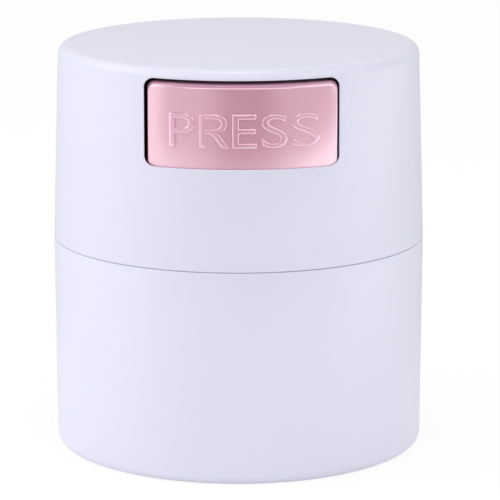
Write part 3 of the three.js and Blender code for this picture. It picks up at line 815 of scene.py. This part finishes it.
# Slider: the acetal frame behind the button, running between the rails on the deck. Its runner is slotted
# round the valve, its crossbar takes the button's pegs, and its two ramps lift the valve by its wings.
# With the button it rests a little to one side, within its play.
slot_half = 5.0 * mm
runner_low = slider_low.z
crossbar_half = (slider_high.x - slider_low.x) / 2
carriage_aside = (slider_high.x + slider_low.x) / 2
peg_spread = 9.0 * mm
peg_radius = 2.0 * mm
peg_gap = 0.15 * mm
button_low, button_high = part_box("press_button")
button_height = 18.75 * mm
button_middle = button_high.z - button_height / 2
ramp_lead = 0.6 * mm
ramp_front = -wing_half - travel - ramp_lead
ramp_crest = 0.6 * mm
ramp_width = 2.4 * mm
ramp_edge = 0.1 * mm
ramp_high = runner_high + ramp_slope * (wing_half - ramp_front)
slider = block(
    (-runner_half, crossbar_front, runner_low), (runner_half, runner_back, runner_high), edge_round
)
slider.name = "button_runner"
additions = [
    block(
        (-crossbar_half, crossbar_front, runner_low),
        (crossbar_half, crossbar_back, slider_high.z),
        edge_round,
    )
]
openings = [
    plain_block(
        (-slot_half, -slot_half - travel, runner_low - root), (slot_half, slot_half, runner_high + root)
    )
]
for side in (-1, 1):
    near, far = sorted((side * (wing_reach - ramp_width), side * wing_reach))
    ramp = block(
        (near, ramp_front - ramp_crest, runner_high - root), (far, wing_half, ramp_high), ramp_edge
    )
    plane_off((0, wing_half, runner_high), (0, ramp_slope, 1))
    middle = side * spring_spread
    spigot_back = crossbar_back + spigot_length
    additions += [
        ramp,
        bar(spigot_radius, middle, spring_high, crossbar_back - root, spigot_back, edge_round),
    ]
    hole_ends = crossbar_front - root, crossbar_back + root
    openings.append(
        bar(peg_radius + peg_gap, side * peg_spread, button_middle, *hole_ends, ramp_edge)
    )
combine(slider, "UNION", additions)
combine(slider, "DIFFERENCE", openings)
slider.location.x = carriage_aside
bpy.ops.object.transform_apply(location=True, rotation=True, scale=True)
slider.data.materials.append(acetal)
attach(slider, "button")
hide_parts("button_slider")

# Press button: a curved plate with a soft rounded edge, moulded in ABS and metallised in satin rose pink.
# It follows the lid's curve and taper, with a slight crown. Two lugs behind the sill keep it in the window,
# and two pegs fix it to the slider. The word on it is moulded as raised, round-edged capitals.
lid_taper = 1.3 * mm
top_round = 2.2 * mm
wall_height = lid_high.z - top_round - lid_low.z
button_recess = 0.25 * mm
plate_thickness = 1.8 * mm
tray_wall = 1.5 * mm
tray_start = 2.0 * mm
button_half = (button_high.x - button_low.x) / 2
button_bottom = button_high.z - button_height
button_corner = 1.7 * mm
button_edge = 1.1 * mm
button_side_edge = 0.25 * mm
button_lower_edge = 0.4 * mm
tray_back = crossbar_front - run_gap
column_width = 0.8 * mm
face_crown = 0.3 * mm


def depth_on_lid(x, z, sunk):
    """Where a point at x and z lies, sunk this far below the lid's tapered surface."""
    radius = seam_radius - lid_taper * (z - lid_low.z) / wall_height - sunk
    return -math.sqrt(radius * radius - x * x)


def cut_into_strips(reach, middle, way):
    """In edit mode, cuts a piece into narrow strips, out to a reach on both sides of its middle."""
    strips = int(reach / column_width)
    for i in range(-strips, strips + 1):
        place = [middle * way[k] + i * column_width * way[k] for k in range(3)]
        bpy.ops.mesh.select_all(action="SELECT")
        bpy.ops.mesh.bisect(plane_co=place, plane_no=way)


def wrap_on_lid(piece, half_width, crown=0.0):
    """Lays a flat piece round the lid, with its y as its depth. A crown sinks its top and bottom."""
    bpy.ops.object.mode_set(mode="EDIT")
    cut_into_strips(half_width, 0, (1, 0, 0))
    if crown:
        cut_into_strips(button_height / 2, button_middle, (0, 0, 1))
    draft = bmesh.from_edit_mesh(piece.data)
    for vertex in draft.verts:
        rise = (vertex.co.z - button_middle) / (button_height / 2)
        vertex.co.y = depth_on_lid(vertex.co.x, vertex.co.z, vertex.co.y + crown * rise * rise)
    bmesh.update_edit_mesh(piece.data)
    bpy.ops.object.mode_set(mode="OBJECT")


def round_window_corners(piece, corner, depth):
    """Rounds the four edges of a block that run along the button's travel."""
    bpy.ops.object.mode_set(mode="EDIT")
    bpy.ops.mesh.select_mode(type="EDGE")
    bpy.ops.mesh.select_all(action="DESELECT")
    draft = bmesh.from_edit_mesh(piece.data)
    for edge in draft.edges:
        edge.select_set(abs(edge.verts[0].co.y - edge.verts[1].co.y) > depth / 2)
    bmesh.update_edit_mesh(piece.data)
    bpy.ops.mesh.bevel(offset=corner, segments=10, affect="EDGES")
    bpy.ops.object.mode_set(mode="OBJECT")


def select_corners(piece, wanted):
    """In edit mode, selects the points for which wanted is true."""
    bpy.ops.mesh.select_mode(type="VERT")
    bpy.ops.mesh.select_all(action="DESELECT")
    draft = bmesh.from_edit_mesh(piece.data)
    for vertex in draft.verts:
        vertex.select_set(wanted(vertex.co))
    bmesh.update_edit_mesh(piece.data)


def stretch_button(piece, across, below):
    """In edit mode, widens the button and deepens its lower half, so that a bevel is narrower there."""
    bpy.ops.mesh.select_all(action="SELECT")
    bpy.ops.transform.resize(value=(across, 1, 1), center_override=(0, 0, 0))
    select_corners(piece, lambda point: point.z < button_middle)
    bpy.ops.transform.resize(value=(1, 1, below), center_override=(0, 0, button_middle))


button = plain_block(
    (-button_half, button_recess, button_bottom),
    (button_half, button_recess + plate_thickness, button_high.z),
)
button.name = "rose_button"
round_window_corners(button, button_corner, plate_thickness)
bpy.ops.object.mode_set(mode="EDIT")
select_faces(button, lambda face: face.normal.y > squarely)
bpy.ops.mesh.inset(thickness=tray_wall)
select_faces(button, lambda face: face.normal.y > squarely and len(face.verts) == 4)
bpy.ops.mesh.extrude_region_move(TRANSFORM_OT_translate={"value": (0, tray_start, 0)})
stretch_button(button, button_edge / button_side_edge, button_edge / button_lower_edge)
select_faces(button, lambda face: face.normal.y < -squarely)
bpy.ops.mesh.region_to_loop()
bpy.ops.mesh.bevel(offset=button_edge, segments=8, affect="EDGES")
stretch_button(button, button_side_edge / button_edge, button_lower_edge / button_edge)
bpy.ops.object.mode_set(mode="OBJECT")
wrap_on_lid(button, button_half, face_crown)
bpy.ops.object.mode_set(mode="EDIT")
tray_depth = button_recess + plate_thickness + tray_start / 2
select_corners(button, lambda point: point.y > depth_on_lid(point.x, point.z, tray_depth))
bpy.ops.transform.resize(value=(1, 0, 1), center_override=(0, tray_back, 0))
bpy.ops.object.mode_set(mode="OBJECT")
upper_bore = 38.5 * mm
lug_outer = 15.0 * mm
lug_inner = 9.0 * mm
lug_thickness = 1.5 * mm
lug_front = run_gap - math.sqrt(upper_bore**2 - (lug_outer + carriage_aside) ** 2)
lug_back = lug_front + lug_thickness
peg_root = depth_on_lid(peg_spread - peg_radius, button_middle, button_recess + plate_thickness - root)
fittings = []
for side in (-1, 1):
    near, far = sorted((side * lug_inner, side * lug_outer))
    fittings.append(
        block((near, lug_front, button_low.z), (far, lug_back, button_bottom + root), edge_round)
    )
    fittings.append(bar(peg_radius, side * peg_spread, button_middle, peg_root, crossbar_back, edge_round))
combine(button, "UNION", fittings)

letter_height = 7.4 * mm
letter_middle = 78.45 * mm
letter_rise = 0.6 * mm
letter_root = 0.2 * mm
letter_bevel = 0.3 * mm
letter_weight = 0.1 * mm
letter_smoothing = 40
type_size = 10 * mm
bowl_start = -1.5 * mm
bowl_stretch = 1.1 * mm
# Each capital, the place of its middle across the button, and its width
letters = [
    ("P", -13.1 * mm, 5.6 * mm),
    ("R", -6.15 * mm, 6.5 * mm),
    ("E", 0.25 * mm, 5.3 * mm),
    ("S", 6.75 * mm, 5.6 * mm),
    ("S", 13.4 * mm, 6.3 * mm),
]
capitals = []
for character, middle, width in letters:
    bpy.ops.object.select_all(action="DESELECT")
    bpy.ops.object.text_add()
    capital = bpy.context.object
    capital.data.body = character
    capital.data.size = type_size
    capital.data.offset = letter_weight - letter_bevel
    capital.data.extrude = (letter_rise + letter_root) / 2
    capital.data.bevel_depth = letter_bevel
    capital.data.bevel_resolution = 3
    capital.data.resolution_u = 12
    bpy.ops.object.convert(target="MESH")
    capital = bpy.context.object
    xs = [vertex.co.x for vertex in capital.data.vertices]
    ys = [vertex.co.y for vertex in capital.data.vertices]
    stretch = width / (max(xs) - min(xs)), letter_height / (max(ys) - min(ys))
    bpy.ops.object.mode_set(mode="EDIT")
    bpy.ops.mesh.select_all(action="SELECT")
    bpy.ops.mesh.remove_doubles(threshold=weld)
    bpy.ops.transform.translate(value=(-(max(xs) + min(xs)) / 2, -(max(ys) + min(ys)) / 2, 0))
    bpy.ops.transform.resize(value=(*stretch, 1), center_override=(0, 0, 0))
    if character == "R":
        select_corners(capital, lambda point: point.x > bowl_start and point.y > 0)
        bpy.ops.transform.translate(value=(bowl_stretch, 0, 0))
    bpy.ops.object.mode_set(mode="OBJECT")
    capital.rotation_euler = (math.pi / 2, 0, 0)
    capital.location = (middle, button_recess + letter_root / 2 + letter_bevel, letter_middle)
    bpy.ops.object.transform_apply(location=True, rotation=True, scale=True)
    wrap_on_lid(capital, button_half, face_crown)
    finish_mesh(capital, letter_smoothing)
    capitals.append(capital)
bpy.ops.object.select_all(action="DESELECT")
for capital in capitals:
    capital.select_set(True)
button.select_set(True)
bpy.context.view_layer.objects.active = button
bpy.ops.object.join()
button.location.x = carriage_aside
bpy.ops.object.transform_apply(location=True, rotation=True, scale=True)

rose_plating = surface_finish(
    "rose_plating",
    colour=(0.80, 0.38, 0.52),
    roughness=0.30,
    spread=0.05,
    shade=0.03,
    broad_scale=120,
    fine_scale=2500,
    relief=0.002 * mm,
)
plating_shader = rose_plating.node_tree.nodes["Principled BSDF"]
plating_shader.inputs["Metallic"].default_value = 0.1
plating_shader.inputs["Coat Weight"].default_value = 1.0
plating_shader.inputs["Coat Roughness"].default_value = 0.2
plating_shader.inputs["Coat IOR"].default_value = 3.0
button.data.materials.append(rose_plating)
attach(button, "button")
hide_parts("press_button")

# Lid shell: the cap of the lid, moulded in the same pearl white, with the valve's guide and two ribs that
# hold the slider down. The sill of the button's window is bevelled behind its edge, over the button's
# rounded lower edge, and a dimple in the middle of the top marks where the mould was filled.
top_radius = seam_radius - lid_taper
lid_bore = 39.2 * mm
top_thickness = 2.0 * mm
ceiling = lid_high.z - top_thickness
ceiling_round = 1.2 * mm
rim_lead = 0.5 * mm
gate_radius = 1.7 * mm
gate_depth = 0.15 * mm
lid_smoothing = 20
lid_shell = turned(
    "lid_cap",
    [
        (0, ceiling),
        *rounded(upper_bore - ceiling_round, ceiling - ceiling_round, ceiling_round, 90, 0, steps=5),
        (upper_bore, deck_high),
        (lid_bore, deck_high),
        (lid_bore, lid_low.z + rim_lead),
        (lid_bore + rim_lead, lid_low.z),
        *rounded(seam_radius - rim_round, lid_low.z + rim_round, rim_round, -90, 0, steps=4),
        *rounded(top_radius - top_round, lid_high.z - top_round, top_round, 0, 90, steps=12),
        (gate_radius, lid_high.z),
        (gate_radius - gate_depth, lid_high.z - gate_depth),
        (0, lid_high.z - gate_depth),
    ],
)
window_half = 21.0 * mm
window_height = 19.15 * mm
window_drop = 2.25 * mm
window_high = lid_high.z - window_drop
window_middle = window_high - window_height / 2
window_corner = 2.2 * mm
window_edge = 0.25 * mm
window_depth = 9.0 * mm
sill_lap = 0.6 * mm
sill_bevel = 0.75 * mm
edge_turn = math.radians(65)
edge_steps = 5
edge_start = window_edge * math.sin(edge_turn)
window = plain_block(
    (-window_half, sill_bevel, window_high - window_height - sill_lap),
    (window_half, window_depth, window_high),
)
round_window_corners(window, window_corner, window_depth)
bpy.ops.object.mode_set(mode="EDIT")
select_faces(window, lambda face: face.normal.y < -squarely)
bpy.ops.mesh.extrude_region_move(TRANSFORM_OT_translate={"value": (0, edge_start - sill_bevel, 0)})
bpy.ops.transform.resize(
    value=(1, 1, window_height / (window_height + sill_lap)), center_override=(0, 0, window_high)
)
outline = [(0, edge_start)]
for i in range(1, edge_steps + 1):
    angle = edge_turn * i / edge_steps
    outline.append((window_edge * (1 - math.cos(angle)), edge_start - window_edge * math.sin(angle)))
outline.append((outline[-1][0] + window_edge * math.sin(edge_turn), -window_edge * math.cos(edge_turn)))
for (spread, depth), (next_spread, next_depth) in zip(outline, outline[1:]):
    bpy.ops.mesh.extrude_region_move(TRANSFORM_OT_translate={"value": (0, next_depth - depth, 0)})
    wider = (window_half + next_spread) / (window_half + spread)
    taller = (window_height / 2 + next_spread) / (window_height / 2 + spread)
    bpy.ops.transform.resize(value=(wider, 1, taller), center_override=(0, 0, window_middle))
bpy.ops.object.mode_set(mode="OBJECT")
wrap_on_lid(window, window_half + window_edge)
finish_mesh(window)
combine(lid_shell, "DIFFERENCE", [window])
guide_bore = 1.95 * mm
guide_wall = 2.0 * mm
guide_outer = guide_bore + guide_wall
guide = turned(
    "valve_guide",
    [
        (guide_bore, guide_low + edge_round),
        (guide_bore + edge_round, guide_low),
        *rounded(guide_outer - edge_round, guide_low + edge_round, edge_round, -90, 0, steps=3),
        (guide_outer, ceiling + root),
        (guide_bore, ceiling + root),
    ],
    closed=True,
    steps=small_steps,
)
rib_inset = 0.7 * mm
rib_thickness = 1.4 * mm
rib_outer = runner_half - rib_inset
rib_inner = rib_outer - rib_thickness
stiffeners = [guide]
for side in (-1, 1):
    near, far = sorted((side * rib_inner, side * rib_outer))
    stiffeners.append(block((near, rail_front, wing_low), (far, runner_back, ceiling + root), edge_round))
combine(lid_shell, "UNION", stiffeners)
finish_mesh(lid_shell, lid_smoothing)
lid_shell.data.materials.append(pearl_plastic)
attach(lid_shell, "lid")
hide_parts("lid_shell")
